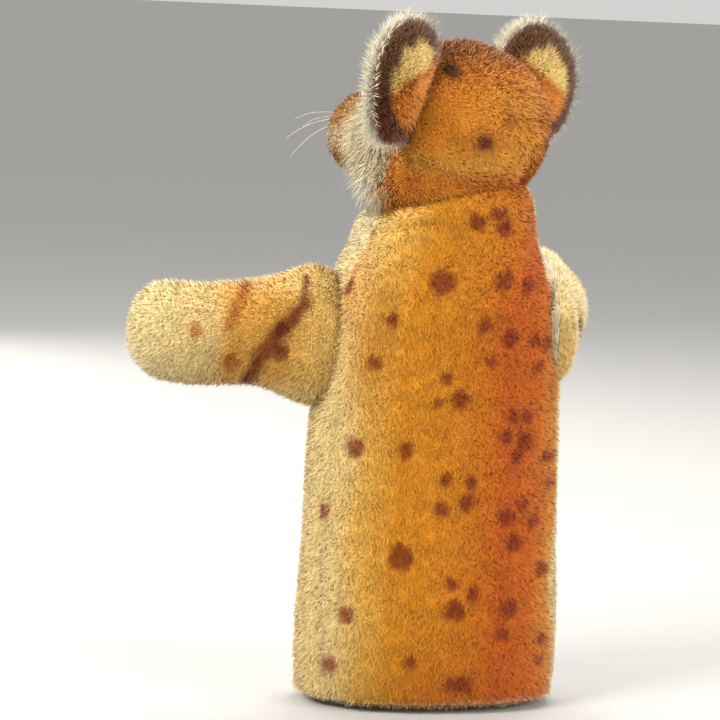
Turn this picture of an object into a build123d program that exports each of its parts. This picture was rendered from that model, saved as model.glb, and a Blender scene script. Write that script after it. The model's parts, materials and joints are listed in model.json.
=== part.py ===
from build123d import *
import math
import os

# A plush glove puppet of a young leopard, in millimetres.
# It faces -Y, its own left is +X, and it stands on its hem at z = 0.

# glove
HEIGHT = 170                    # hem to neck edge
DEPTH_RATIO = 0.66              # depth of the glove over its width
WALL = 2.2                      # backing cloth and pressed pile
SEAM_Y = 9                      # the side seams lie a little behind the widest line
SIDE_PROFILE = [(0.8, 43.5), (10, 45.2), (26, 45.8), (60, 44.5), (95, 43.5),
                (125, 42.5), (141, 40), (154, 36), (163, 32.6), (HEIGHT, 30.5)]
HEM_TURN = 14                   # height of the turned-up hem
HEM_FOOT = 0.8                  # its thickness under the panels
HEM_CLOTH = 1.9                 # and inside them
HEM_SLACK = 0.6                 # air between the panels and the turned-up cloth
SEAM_ALLOWANCE = 5
THREAD = 0.35                   # radius of the sewing thread

# arms, measured along their own axis from the shoulder's centre
SHOULDER = (46, 0, 128)
SOCKET = 25                     # ball left free in the glove around the shoulder
BAND_OUT, BAND_IN = 20.2, 18.4  # ball-shaped band inside the sleeve
BAND_DEPTH = 13.2
SLEEVE_GAP = 20.6               # the sleeve starts outside this ball
ARM_PROFILE = [(2, 21.4), (12, 20.2), (22, 18.6), (34, 17.3), (44, 16.4), (52, 13.2), (58, 8.2)]
ARM_TIP = 61.5
ARM_DEPTH_RATIO = 0.68
ARM_WALL = 1.9
FORWARD = {"left": 12, "right": 84}     # how far each arm points forward at rest, degrees
LIFT = {"left": 0, "right": 14}         # how far each arm points up at rest, degrees

# head, in its own frame facing -Y and then turned
HEAD_TURN = 35                  # towards the puppet's left at rest
SKULL = (31, 31, 28.5)
SKULL_AT = (0, 3.6, 202)
SKIN = 2.0
GAP = 0.05                      # air between parts that lie on each other
GUSSET = 8                      # half width of the strip over the crown
CHEEK_BACK = 4                  # the cheeks' rear edge, in front of the skull's centre
CHEEK_TOP = 5
CHIN_TOP = -12
MUZZLE = (16, 15, 15)
MUZZLE_AT = (0, -32.8, 197)
EAR_LONG, EAR_HIGH, EAR_PLY = 21, 18, 1.8
EAR_AT = (36, 10.5, 219)
EAR_LEAN = 35                   # the ear's long axis leans in by this much
EAR_OPEN = 10                   # its front opens outwards by this much
EYE, EYE_CORE = 4.6, 3.6
EYE_AT = (13.5, 9.5, 25)        # sideways, up and forward of the skull's centre
NOSE = (5.6, 3.6, 4)
WHISKER, WHISKER_LONG = 0.3, 25

# finger tube and the bound neck
TUBE_OUT, TUBE_IN = 12.5, 10.5
TUBE_LOW, TUBE_HIGH = 158, 206
BAND_LOW, BAND_TOP = 165, 171.5
NECK_OUT = 16.2


def save(name, shape):
    export_step(shape, f"parts/{name}.step")


def solids_of(shape):
    """One shape that holds every solid left by a cut, dust left out."""
    kept = [s for s in shape.solids() if s.volume > 0.05]
    return kept[0] if len(kept) == 1 else Compound(children=kept)


def egg(radii, centre):
    """An ellipsoid."""
    return Pos(*centre) * scale(Sphere(1), by=tuple(radii))


def inset(profile, amount):
    return [(z, r - amount) for z, r in profile]


def side_line(profile, tip=None):
    """A smooth line through (height, radius) points, ending on the axis if tip is its height there."""
    points = [(r, z) for z, r in profile]
    if tip is None:
        return Spline(*points)
    return Spline(*points, (0, tip), tangents=[(-0.1, 1), (-1, 0)])


def turned_wall(outer, inner, tips=(None, None)):
    """A wall between two profiles, turned about Z."""
    edges = side_line(outer, tips[0]) + side_line(inner, tips[1])
    ends = [[(r, z) for z, r in (p[0], p[-1])] for p in (outer, inner)]
    edges += Line(ends[0][0], ends[1][0])
    if tips[0] is None:
        edges += Line(ends[0][1], ends[1][1])
    else:
        edges += Line((0, tips[0]), (0, tips[1]))
    return revolve(Plane.XZ * make_face(edges), Axis.Z)


def flatten(shape, ratio):
    return scale(shape, by=(1.0, ratio, 1.0))


def slab(low, high):
    """A box from its lowest and highest corners."""
    size = [b - a for a, b in zip(low, high)]
    return Pos(*low) * Box(*size, align=(Align.MIN, Align.MIN, Align.MIN))


def stitch(start, end, radius=THREAD):
    """A straight stitch, a little shorter than its two holes are apart."""
    a, b = Vector(*start), Vector(*end)
    along = b - a
    base = Plane(origin=a + along * 0.12, z_dir=along)
    return base * Cylinder(radius, along.length * 0.76, align=(Align.CENTER, Align.CENTER, Align.MIN))


def glove_wall(out, into):
    """The glove's wall between two depths under its outer surface."""
    return flatten(turned_wall(inset(SIDE_PROFILE, out), inset(SIDE_PROFILE, into)), DEPTH_RATIO)


def sockets():
    """The balls that the glove leaves free around both shoulders."""
    x, y, z = SHOULDER
    return Pos(x, y, z) * Sphere(SOCKET) + Pos(-x, y, z) * Sphere(SOCKET)


def glove():
    wall = glove_wall(0, WALL) - sockets()
    save("back_panel", solids_of(wall & slab((-60, SEAM_Y, 0), (60, 60, 200))))
    save("front_panel", solids_of(wall & slab((-60, -60, 0), (60, SEAM_Y, 200))))


def side_seams():
    """The sewn edges of both panels, turned inside."""
    inside = glove_wall(WALL + GAP, WALL + SEAM_ALLOWANCE)
    reach = SIDE_PROFILE[2][1]
    for side, sign in (("left", 1), ("right", -1)):
        ends = sorted((sign * reach / 2, sign * reach))
        low, high = HEM_TURN + 2, HEIGHT - SEAM_ALLOWANCE
        strip = inside & slab((ends[0], SEAM_Y - 1.2, low), (ends[1], SEAM_Y + 1.2, high))
        save(f"{side}_side_seam", solids_of(strip - sockets()))


def width_at(height, depth):
    """Half the glove's width between the first two heights of its profile, under its surface."""
    (z0, r0), (z1, r1) = SIDE_PROFILE[0], SIDE_PROFILE[1]
    return r0 + (r1 - r0) * (height - z0) / (z1 - z0) - depth


def hem():
    """The hem turned up inside, with the fold that the puppet stands on."""
    edge = SIDE_PROFILE[0][1]
    thick = WALL + HEM_CLOTH
    outline = Polyline(
        (edge - thick, -1), (edge, -1), (edge, HEM_FOOT), (edge - WALL - HEM_SLACK, HEM_FOOT),
        (width_at(HEM_TURN, WALL + HEM_SLACK), HEM_TURN), (width_at(HEM_TURN, thick), HEM_TURN),
        (edge - thick, HEM_FOOT), (edge - thick, -1))
    turned = revolve(Plane.XZ * make_face(outline), Axis.Z)
    facing = flatten(turned, DEPTH_RATIO) - slab((-60, -60, -9), (60, 60, 0))
    save("hem_facing", solids_of(facing))
    count, z = 44, HEM_TURN - 3
    reach = width_at(z, thick + 2 * THREAD)
    deep = reach * DEPTH_RATIO - THREAD
    sewn = []
    for i in range(count):
        turns = [2 * math.pi * (i + part) / count for part in (0, 1)]
        sewn.append(stitch(*[(reach * math.cos(a), deep * math.sin(a), z) for a in turns]))
    save("hem_stitches", Compound(children=sewn))


def sleeve():
    """The hollow arm along +X from the shoulder's centre, pressed flat and open at its root."""
    tips = (ARM_TIP, ARM_TIP - ARM_WALL)
    wall = turned_wall(ARM_PROFILE, inset(ARM_PROFILE, ARM_WALL), tips)
    return flatten(Rot(0, 90, 0) * wall, ARM_DEPTH_RATIO) - Sphere(SLEEVE_GAP)


def shoulder_band():
    """The seam allowance of the armhole, a flattened ball open towards hand and paw."""
    depth = BAND_DEPTH
    outer = Sphere(BAND_OUT) & slab((-9, -depth, -30), (12, depth, 30))
    inner = Sphere(BAND_IN) & slab((-10, -depth + 1.8, -30), (13, depth - 1.8, 30))
    return outer - inner


def arms():
    whole = sleeve()
    pieces = {
        "arm_back": whole & slab((-1, 0, -40), (80, 40, 40)),
        "arm_front": whole & slab((-1, -40, -40), (80, 0, 40)),
        "shoulder_band": shoulder_band()}
    for side, sign in (("left", 1), ("right", -1)):
        x, y, z = SHOULDER
        place = Pos(sign * x, y, z) * Rot(0, 0, -sign * FORWARD[side]) * Rot(0, -sign * LIFT[side], 0)
        for name, piece in pieces.items():
            shape = piece if sign > 0 else mirror(piece, Plane.YZ)
            save(f"{side}_{name}", solids_of(place * shape))


def pipe(outer, inner, low, high):
    body = Pos(0, 0, low) * Cylinder(outer, high - low, align=(Align.CENTER, Align.CENTER, Align.MIN))
    hole = Pos(0, 0, low) * Cylinder(inner, high - low, align=(Align.CENTER, Align.CENTER, Align.MIN))
    return body - hole


def neck():
    """The finger tube, the cloth bound round it and the winding of thread."""
    save("finger_tube", turn_head(pipe(TUBE_OUT, TUBE_IN, TUBE_LOW, TUBE_HIGH)))
    save("neck_band", pipe(NECK_OUT, TUBE_OUT + 0.3, BAND_LOW, BAND_TOP))
    middle = (BAND_LOW + BAND_TOP) / 2
    rings = [Pos(0, 0, middle + step) * Torus(NECK_OUT + 0.45, 0.4) for step in (-0.9, 0, 0.9)]
    save("neck_thread", Compound(children=rings))


def turn_head(shape):
    return Rot(0, 0, HEAD_TURN) * shape


def skull(less=0.0):
    return egg([r - less for r in SKULL], SKULL_AT)


def head_cloth():
    """The sewn skin of the head: crown gusset, two sides, two cheeks and a chin."""
    shell = skull() - skull(SKIN)
    shell -= Pos(0, 0, 150) * Cylinder(TUBE_OUT + GAP, 40, align=(Align.CENTER, Align.CENTER, Align.MIN))
    x, y, z = SKULL_AT
    middle = shell & slab((-GUSSET, -60, 100), (GUSSET, 60, 300))
    below = slab((-60, -60, 100), (60, y + 2, z + CHIN_TOP))
    save("chin_panel", solids_of(turn_head(middle & below)))
    save("crown_gusset", solids_of(turn_head(middle - below)))
    for side, sign in (("left", 1), ("right", -1)):
        ends = sorted((sign * GUSSET, sign * 60))
        half = shell & slab((ends[0], -60, 100), (ends[1], 60, 300))
        front = slab((-60, -60, 100), (60, y - CHEEK_BACK, z + CHEEK_TOP))
        save(f"{side}_cheek", solids_of(turn_head(half & front)))
        save(f"{side}_head_side", solids_of(turn_head(half - front)))
    packed = skull(SKIN + GAP)
    packed -= Pos(0, 0, 150) * Cylinder(
        TUBE_OUT + GAP, TUBE_HIGH - 150 + GAP, align=(Align.CENTER, Align.CENTER, Align.MIN))
    save("head_filling", solids_of(turn_head(packed)))


def on_muzzle(side_deg, down_deg, lift=0.0):
    """A point on the muzzle's front, at angles from its foremost point."""
    a, b = math.radians(side_deg), math.radians(down_deg)
    direction = (math.sin(a) * math.cos(b), -math.cos(a) * math.cos(b), -math.sin(b))
    return tuple(c + (r + lift) * d for c, r, d in zip(MUZZLE_AT, MUZZLE, direction))


def muzzle():
    outer = egg(MUZZLE, MUZZLE_AT)
    inner = egg([r - SKIN for r in MUZZLE], MUZZLE_AT)
    fill = egg([r - SKIN - GAP for r in MUZZLE], MUZZLE_AT)
    behind = skull(-GAP)
    save("muzzle_cloth", solids_of(turn_head(outer - inner - behind)))
    save("muzzle_filling", solids_of(turn_head(fill - behind)))
    nose = egg(NOSE, on_muzzle(0, -32, -0.8)) - egg([r + GAP for r in MUZZLE], MUZZLE_AT) - behind
    save("nose", solids_of(turn_head(nose)))
    lift = 1.4 * THREAD
    route = [(0, d) for d in range(-2, 26, 7)]
    curve = [(a, 26 + 9 * math.sin(math.radians(a * 3.2))) for a in range(3, 47, 8)]
    rows = [route, curve, [(-a, d) for a, d in curve]]
    sewn = [stitch(on_muzzle(*p, lift), on_muzzle(*q, lift)) for row in rows for p, q in zip(row, row[1:])]
    save("mouth_stitches", solids_of(turn_head(Compound(children=sewn))))


def eyes():
    """Glass domes over dark cores, set on the skull's skin."""
    for side, sign in (("left", 1), ("right", -1)):
        length = math.sqrt(sum((c / r) ** 2 for c, r in zip((EYE_AT[0], EYE_AT[2], EYE_AT[1]), SKULL)))
        x, y, z = SKULL_AT
        centre = (x + sign * EYE_AT[0] / length, y - EYE_AT[2] / length, z + EYE_AT[1] / length)
        socket = skull(-GAP)
        core = Pos(*centre) * Sphere(EYE_CORE) - socket
        glass = Pos(*centre) * (Sphere(EYE) - Sphere(EYE_CORE + 0.02)) - socket
        save(f"{side}_eye_core", solids_of(turn_head(core)))
        save(f"{side}_eye_glass", solids_of(turn_head(glass)))


def ears():
    """Each ear is two plies, a short-pile back and a long-pile front, set on the skull."""
    lean, opening = math.radians(EAR_LEAN), math.radians(EAR_OPEN)
    for side, sign in (("left", 1), ("right", -1)):
        back_normal = Vector(-sign * math.sin(opening), math.cos(opening), 0)
        out = Vector(sign * math.cos(lean), 0, math.sin(lean))
        out = out - back_normal * out.dot(back_normal)
        plane = Plane(origin=(sign * EAR_AT[0], EAR_AT[1], EAR_AT[2]), x_dir=out, z_dir=back_normal)
        leaf = Ellipse(EAR_HIGH, EAR_LONG)
        back = plane * extrude(leaf, EAR_PLY) - skull(-GAP)
        front = plane * extrude(leaf, -EAR_PLY) - skull(-GAP)
        save(f"{side}_ear_back", solids_of(turn_head(back)))
        save(f"{side}_ear_front", solids_of(turn_head(front)))


def whiskers():
    """Three nylon bristles on each side of the muzzle."""
    for side, sign in (("left", 1), ("right", -1)):
        bristles = []
        for down, droop in ((-14, 2), (0, -4), (14, -10)):
            root = Vector(*on_muzzle(sign * 58, down, 0.1))
            tip = root + Vector(sign * 21, -8, droop)
            tip = root + (tip - root).normalized() * WHISKER_LONG
            bristles.append(stitch(root, tip, WHISKER))
        save(f"{side}_whiskers", solids_of(turn_head(Compound(children=bristles))))


def nape_stitches():
    """The hand-sewn row that closes the back of the head over the neck."""
    x, y, z = SKULL_AT
    radii = [r + 1.4 * THREAD for r in SKULL]
    height = -16
    row = math.sqrt(1 - (height / radii[2]) ** 2)
    spots = [(x + radii[0] * row * math.sin(math.radians(a)),
              y + radii[1] * row * math.cos(math.radians(a)), z + height) for a in range(-70, 71, 7)]
    sewn = [stitch(p, q) for p, q in zip(spots, spots[1:])]
    save("nape_stitches", solids_of(turn_head(Compound(children=sewn))))


os.makedirs("parts", exist_ok=True)
glove()
side_seams()
hem()
arms()
neck()
head_cloth()
muzzle()
eyes()
ears()
whiskers()
nape_stitches()
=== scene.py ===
import json
import math

import bpy
import numpy as np
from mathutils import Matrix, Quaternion, Vector


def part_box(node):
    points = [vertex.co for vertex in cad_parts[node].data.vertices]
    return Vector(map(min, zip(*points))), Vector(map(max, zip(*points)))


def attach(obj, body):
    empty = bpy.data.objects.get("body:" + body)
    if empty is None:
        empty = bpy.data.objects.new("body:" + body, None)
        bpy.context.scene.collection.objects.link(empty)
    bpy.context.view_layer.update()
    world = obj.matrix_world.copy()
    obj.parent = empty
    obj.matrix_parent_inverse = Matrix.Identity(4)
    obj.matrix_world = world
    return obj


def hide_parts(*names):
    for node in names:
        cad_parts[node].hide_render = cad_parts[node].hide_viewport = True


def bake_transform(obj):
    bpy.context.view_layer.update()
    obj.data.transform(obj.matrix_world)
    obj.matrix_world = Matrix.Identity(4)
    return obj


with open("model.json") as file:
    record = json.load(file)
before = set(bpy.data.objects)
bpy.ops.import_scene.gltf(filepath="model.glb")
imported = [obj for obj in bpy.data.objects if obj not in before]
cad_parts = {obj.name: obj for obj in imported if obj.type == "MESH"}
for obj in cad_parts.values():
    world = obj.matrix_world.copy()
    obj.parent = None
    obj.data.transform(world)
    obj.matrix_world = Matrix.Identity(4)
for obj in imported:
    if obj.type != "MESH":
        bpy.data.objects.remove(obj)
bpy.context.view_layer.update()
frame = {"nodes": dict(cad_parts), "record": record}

# A plush glove puppet of a young leopard. Lengths are in millimetres until a mesh is made.
# It faces -Y, its own left is +X, and it stands on its hem at z = 0.

MM = 0.001
FLOOR_GAP = 0.15                             # no strand comes nearer to the floor than this


def box_mm(node):
    low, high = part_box(node)
    return np.array(low) / MM, np.array(high) / MM


def joint_of(name):
    return next(j for j in frame["record"]["behaviour"]["joints"] if j["name"] == name)


def unit(v):
    v = np.asarray(v, float)
    return v / np.maximum(np.linalg.norm(v, axis=-1, keepdims=True), 1e-9)


# ---- places taken from the frame ----
PIVOT_Z = joint_of("head_nod")["pos_m"][2] / MM
GLOVE_HALF = box_mm("front_panel")[1][0]
EYES = {s: sum(box_mm(f"{s}_eye_glass")) / 2 for s in ("left", "right")}
HEAD_X = unit((EYES["left"] - EYES["right"]) * (1, 1, 0))      # the head's own left
HEAD_F = np.array([HEAD_X[1], -HEAD_X[0], 0])                  # the way the face looks
FILL_LOW, FILL_HIGH = box_mm("head_filling")
SKULL = np.array([31.0, 31.0, 28.5])                           # half sizes: sideways, forward, up
OVER_FILLING = 2.05                                            # from the filling's top to the cloth's outside
SKULL_AT = np.append((FILL_LOW + FILL_HIGH)[:2] / 2, FILL_HIGH[2] + OVER_FILLING - SKULL[2])

# ---- colours, as sRGB ----
CREAM = (246, 216, 146)
PALE = (244, 228, 186)
GOLD = (238, 160, 28)
AMBER = (232, 138, 14)
RUST = (220, 106, 6)
SPOT = (150, 46, 3)
BROWN = (78, 32, 8)
WHITE = (248, 240, 220)
TAN = (196, 140, 66)
CLOTH_BACK = (206, 184, 140)                 # the woven side of the pile cloth


def linear(rgb):
    """An sRGB colour in the linear form that Blender's shaders take."""
    c = np.asarray(rgb, float) / 255
    return np.where(c <= 0.04045, c / 12.92, ((c + 0.055) / 1.055) ** 2.4)


def mix(a, b, t):
    """Colours a with share t of colour b over them."""
    t = np.asarray(t, float)[..., None]
    return np.asarray(a, float) * (1 - t) + np.asarray(b, float) * t


def rise(x, low, high):
    """A smooth step, 0 up to low and 1 from high."""
    t = np.clip((np.asarray(x, float) - low) / (high - low), 0, 1)
    return t * t * (3 - 2 * t)


def ramp(x, stops):
    """Colours read off a row of (place, sRGB colour) stops."""
    places = [p for p, _ in stops]
    colours = np.array([linear(c) for _, c in stops])
    return np.stack([np.interp(x, places, colours[:, k]) for k in range(3)], axis=-1)


def ripple(p, size, seed):
    """Smooth noise from -1 to 1 at points p, with features about size millimetres wide."""
    waves = 7
    r = np.random.default_rng(seed)
    total = np.zeros(len(p))
    for _ in range(waves):
        way = unit(r.normal(size=3)) * (2 * math.pi / size) * r.uniform(0.6, 1.6)
        total += np.sin(p @ way + r.uniform(0, 6.28))
    return total / 4


# ---- mesh making ----
def put_in_scene(name, data):
    obj = bpy.data.objects.new(name, data)
    bpy.context.scene.collection.objects.link(obj)
    return obj


def mesh_object(name, points, faces, material):
    mesh = bpy.data.meshes.new(name)
    mesh.from_pydata((np.asarray(points) * MM).tolist(), [], faces)
    mesh.polygons.foreach_set("use_smooth", [True] * len(mesh.polygons))
    mesh.materials.append(material)
    return put_in_scene(name, mesh)


def paint(obj, colours):
    """The colour of each point, which the materials read as tint."""
    layer = obj.data.attributes.new("tint", "FLOAT_COLOR", "POINT")
    rgba = np.ones((len(colours), 4), np.float32)
    rgba[:, :3] = np.clip(colours, 0, 1)
    layer.data.foreach_set("color", rgba.ravel())


def grid(rows, columns, closed=False, first=0.0):
    """The two parameters at each point of a grid, row by row. A closed one meets its first column again."""
    along = np.arange(columns) / columns if closed else np.linspace(0, 1, columns)
    b, a = np.meshgrid(np.linspace(first, 1, rows), along, indexing="ij")
    return a.ravel(), b.ravel()


def grid_faces(rows, columns, start=0, closed=False, flip=False):
    """The quads of a grid whose first point is number start."""
    faces = []
    wide = columns if closed else columns - 1
    for i in range(rows - 1):
        for j in range(wide):
            k = (j + 1) % columns
            quad = [start + i * columns + j, start + i * columns + k,
                    start + (i + 1) * columns + k, start + (i + 1) * columns + j]
            faces.append(quad[::-1] if flip else quad)
    return faces


def at(surface, a, b):
    """Points and outward normals of a surface at its two parameters, each from 0 to 1."""
    step = 1e-3
    da = surface(np.minimum(a + step, 1), b) - surface(np.maximum(a - step, 0), b)
    db = surface(a, np.minimum(b + step, 1)) - surface(a, np.maximum(b - step, 0))
    return surface(a, b), unit(np.cross(da, db))


def shell(name, surface, colour, material, thick, rows, columns):
    """Cloth with a real thickness: an outer and an inner sheet and the rim between them."""
    p, n = at(surface, *grid(rows, columns))
    inner = p - n * thick
    count = len(p)
    faces = grid_faces(rows, columns) + grid_faces(rows, columns, count, flip=True)
    rim = list(range(columns)) + [i * columns + columns - 1 for i in range(1, rows)]
    rim += [(rows - 1) * columns + j for j in range(columns - 2, -1, -1)]
    rim += [i * columns for i in range(rows - 2, 0, -1)]
    for i, k in zip(rim, rim[1:] + rim[:1]):
        faces.append([k, i, i + count, k + count])
    obj = mesh_object(name, np.vstack([p, inner]), faces, material)
    paint(obj, np.vstack([colour(p), np.tile(linear(CLOTH_BACK), (count, 1))]))
    return obj


def stretch_of(surface, a, b):
    """The area of the surface to a unit of each of its parameters."""
    step = 2e-3
    p = surface(a, b)
    da = (surface(np.minimum(a + step, 1), b) - p) / step
    db = (surface(a, np.minimum(b + step, 1)) - p) / step
    return np.linalg.norm(np.cross(da, db), axis=1)


def sample(surface, density, seed):
    """Roots spread evenly over a surface, density to a square millimetre."""
    tries, spare = 9000, 1.15
    r = np.random.default_rng(seed)
    size = stretch_of(surface, *r.random((2, tries)))
    top, mean = np.percentile(size, 99.5) * 1.05, size.mean()
    count = int(mean * density)
    a, b = r.random((2, int(count * top / mean * spare) + 50))
    kept = r.random(len(a)) < stretch_of(surface, a, b) / top
    return a[kept][:count], b[kept][:count]


def strands(name, roots, normals, comb, length, colours, material, seed,
            width=0.26, lean=0.45, mess=0.16):
    """Pile: one tapering two-piece ribbon for each root, leaning along comb."""
    shortest, spread, sunk, taper = 0.72, 0.62, 0.35, 0.8
    # Painted shade darkens each strand's root and painted light brightens its tip.
    root_painted_shade, tip_painted_light, uneven = 0.9, 1.12, 0.05
    r = np.random.default_rng(seed)
    n = len(roots)
    length = np.broadcast_to(length, n) * (shortest + spread * r.random(n) ** 3)
    shake = r.normal(size=(n, 3)) * mess
    low = unit(normals + comb * lean * 0.7 + shake * 0.6)
    high = unit(normals * (1 - 0.5 * lean) + comb * lean * 1.7 + shake)
    half = (length / 2)[:, None]
    middle = roots + low * half
    across = unit(np.cross(low, normals + 0.45 * r.normal(size=(n, 3))))
    across *= np.sign((np.cross(across, low) * normals).sum(1, keepdims=True))    # its face looks outward
    wide = across * (width * r.uniform(0.7, 1.2, n) / 2)[:, None]
    base = roots - normals * sunk
    points = np.stack([base - wide, base + wide, middle - wide * taper, middle + wide * taper,
                       middle + high * half], axis=1)
    points[:, :, 2] = np.maximum(points[:, :, 2], FLOOR_GAP)
    mesh = bpy.data.meshes.new(name)
    mesh.vertices.add(n * 5)
    mesh.vertices.foreach_set("co", (points * MM).astype(np.float32).ravel())
    first = np.arange(n)[:, None] * 5
    loops = np.concatenate([first + [0, 1, 3, 2], first + [2, 3, 4]], axis=1)
    mesh.loops.add(n * 7)
    mesh.loops.foreach_set("vertex_index", loops.astype(np.int32).ravel())
    mesh.polygons.add(n * 2)
    starts = (np.arange(n)[:, None] * 7 + [0, 4]).ravel()
    mesh.polygons.foreach_set("loop_start", starts.astype(np.int32))
    mesh.polygons.foreach_set("loop_total", np.tile([4, 3], n).astype(np.int32))
    mesh.update(calc_edges=True)
    mesh.polygons.foreach_set("use_smooth", np.ones(n * 2, bool))
    strand_map(mesh, n)
    soft = unit(normals + high * 0.35 + r.normal(size=(n, 3)) * 0.12)
    mesh.normals_split_custom_set_from_vertices(np.repeat(soft, 5, axis=0).astype(np.float32))
    mesh.materials.append(material)
    obj = put_in_scene(name, mesh)
    # Painted shade at the roots and painted light at the tips.
    shade = np.array([root_painted_shade, root_painted_shade, 1, 1, tip_painted_light])[None, :, None]
    own = 1 + r.normal(size=(n, 1, 1)) * uneven
    paint(obj, (colours[:, None, :] * shade * own).reshape(-1, 3))
    return obj


def strand_map(mesh, n):
    """A map with a small cell of its own for each strand."""
    side = math.ceil(math.sqrt(n))
    cell = np.stack([np.arange(n) % side, np.arange(n) // side], axis=1)[:, None, :]
    corner = np.array([(0.2, 0.15), (0.8, 0.15), (0.8, 0.5), (0.2, 0.5),
                       (0.2, 0.5), (0.8, 0.5), (0.5, 0.85)])[None]
    layer = mesh.uv_layers.new(name="OFBake")
    layer.uv.foreach_set("vector", ((cell + corner) / side).astype(np.float32).ravel())


def pelt(name, surface, density, colour, length, comb, seed, material, keep=None, **how):
    """Pile over a surface, its colour, length and lie given by functions of place."""
    p, n = at(surface, *sample(surface, density, seed))
    if keep is not None:
        chosen = keep(p)
        p, n = p[chosen], n[chosen]
    way = comb(p) if callable(comb) else np.broadcast_to(np.asarray(comb, float), p.shape)
    way = unit(way - n * (way * n).sum(1, keepdims=True))
    long = length(p) if callable(length) else length
    return strands(name, p, n, way, long, colour(p), material, seed + 1, **how)


# ---- materials ----
def tune(node, **values):
    """Set a node's inputs, each named with _ for a space."""
    for name, value in values.items():
        node.inputs[name.replace("_", " ")].default_value = value


def new_material(name, **values):
    material = bpy.data.materials.new(name)
    material.use_nodes = True
    nodes, links = material.node_tree.nodes, material.node_tree.links
    shader = nodes["Principled BSDF"]
    tune(shader, **values)
    return material, nodes, links, shader


def noise_bump(nodes, links, shader, scale, strength, distance, stretch=(1, 1, 1)):
    """Fine relief of noise, its features 1 / scale metres wide and distance metres high."""
    place = nodes.new("ShaderNodeTexCoord")
    fit = nodes.new("ShaderNodeMapping")
    grain = nodes.new("ShaderNodeTexNoise")
    bump = nodes.new("ShaderNodeBump")
    tune(fit, Scale=stretch)
    tune(grain, Scale=scale, Detail=4)
    tune(bump, Strength=strength, Distance=distance)
    links.new(place.outputs["Object"], fit.inputs["Vector"])
    links.new(fit.outputs["Vector"], grain.inputs["Vector"])
    links.new(grain.outputs["Fac"], bump.inputs["Height"])
    links.new(bump.outputs["Normal"], shader.inputs["Normal"])
    return grain


def tinted(nodes, links, shader, scale, low, high):
    """The painted tint, made a little uneven by noise."""
    tint = nodes.new("ShaderNodeAttribute")
    tint.attribute_name = "tint"
    place = nodes.new("ShaderNodeTexCoord")
    noise = nodes.new("ShaderNodeTexNoise")
    span = nodes.new("ShaderNodeMapRange")
    blend = nodes.new("ShaderNodeMix")
    blend.data_type = "RGBA"
    blend.blend_type = "MULTIPLY"
    tune(noise, Scale=scale, Detail=3)
    tune(span, To_Min=low, To_Max=high)
    tune(blend, Factor=1)
    links.new(place.outputs["Object"], noise.inputs["Vector"])
    links.new(noise.outputs["Fac"], span.inputs["Value"])
    links.new(tint.outputs["Color"], blend.inputs["A"])
    links.new(span.outputs["Result"], blend.inputs["B"])
    links.new(blend.outputs["Result"], shader.inputs["Base Color"])


def pile_material():
    material, nodes, links, shader = new_material(
        "mohair_pile", Roughness=0.62, Specular_IOR_Level=0.25, Sheen_Weight=0.25, Sheen_Roughness=0.5)
    tinted(nodes, links, shader, 260, 0.86, 1.14)
    return material


def backing_material():
    """The woven ground under the pile."""
    material, nodes, links, shader = new_material("mohair_ground", Roughness=0.9, Sheen_Weight=0.3)
    tinted(nodes, links, shader, 700, 0.7, 1.1)
    noise_bump(nodes, links, shader, 1800, 0.5, 0.0004, (1, 1, 2.5))
    return material


def simple_material(name, dark, light, scale, rough, bump=0.3, distance=0.0003, stretch=(1, 1, 1)):
    """Two close colours mixed by noise, with the same grain in its relief."""
    material, nodes, links, shader = new_material(name, Roughness=rough)
    grain = noise_bump(nodes, links, shader, scale, bump, distance, stretch)
    shades = nodes.new("ShaderNodeValToRGB")
    for stop, place, shade in zip(shades.color_ramp.elements, (0.3, 0.7), (dark, light)):
        stop.position = place
        stop.color = (*linear(shade), 1)
    links.new(grain.outputs["Fac"], shades.inputs["Fac"])
    links.new(shades.outputs["Color"], shader.inputs["Base Color"])
    return material


PILE = pile_material()
GROUND = backing_material()
THREAD = simple_material("cotton_thread", (196, 168, 110), (226, 204, 156), 2500, 0.75, 0.6, 0.0002,
                         (1, 1, 5))
NAPE = simple_material("nape_thread", (150, 84, 24), (190, 116, 40), 2500, 0.75, 0.6, 0.0002, (5, 1, 1))
FLOSS = simple_material("nose_floss", (26, 14, 12), (56, 34, 28), 1800, 0.45, 0.5, 0.0002, (6, 1, 1))
CARD = simple_material("rolled_card", (150, 116, 78), (184, 150, 108), 420, 0.85, 0.35, 0.0003, (1, 1, 6))
WOOL = simple_material("wood_wool", (176, 140, 84), (214, 184, 126), 600, 0.8, 0.8, 0.001, (5, 1, 1))
COTTON = simple_material("cotton_backing", (196, 172, 126), (220, 200, 158), 1500, 0.9, 0.5, 0.0003)

# ---- the glove ----
VIEW_TURN = math.radians(15)                 # the back is seen from this far round to its left
ACROSS = np.array([-math.cos(VIEW_TURN), math.sin(VIEW_TURN), 0])
SEAM_Y = 9.0                                 # the side seams are this far behind the axis
HEM_LIFT = 4.2                               # from the floor to where the panels turn in at the hem
NECK_TOP = 187.5
NECK_DROP = 11.0                             # the neck closes this much lower under the left cheek
CORNER = 0.92                                # below 1, the oval's corners are fuller
# Half width by height, as a share of the panel's, and half depth as a share of half width.
SIDES = [(0, 0.935), (5, 0.972), (14, 0.995), (28, 1.0), (60, 0.972), (95, 0.95), (125, 0.93),
         (141, 0.885), (154, 0.79), (163, 0.715), (172, 0.675), (180, 0.62), (185, 0.52), (188, 0.38)]
DEPTHS = [(0, 0.63), (30, 0.66), (140, 0.66), (165, 0.76), (180, 0.88), (188, 0.95)]


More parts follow.
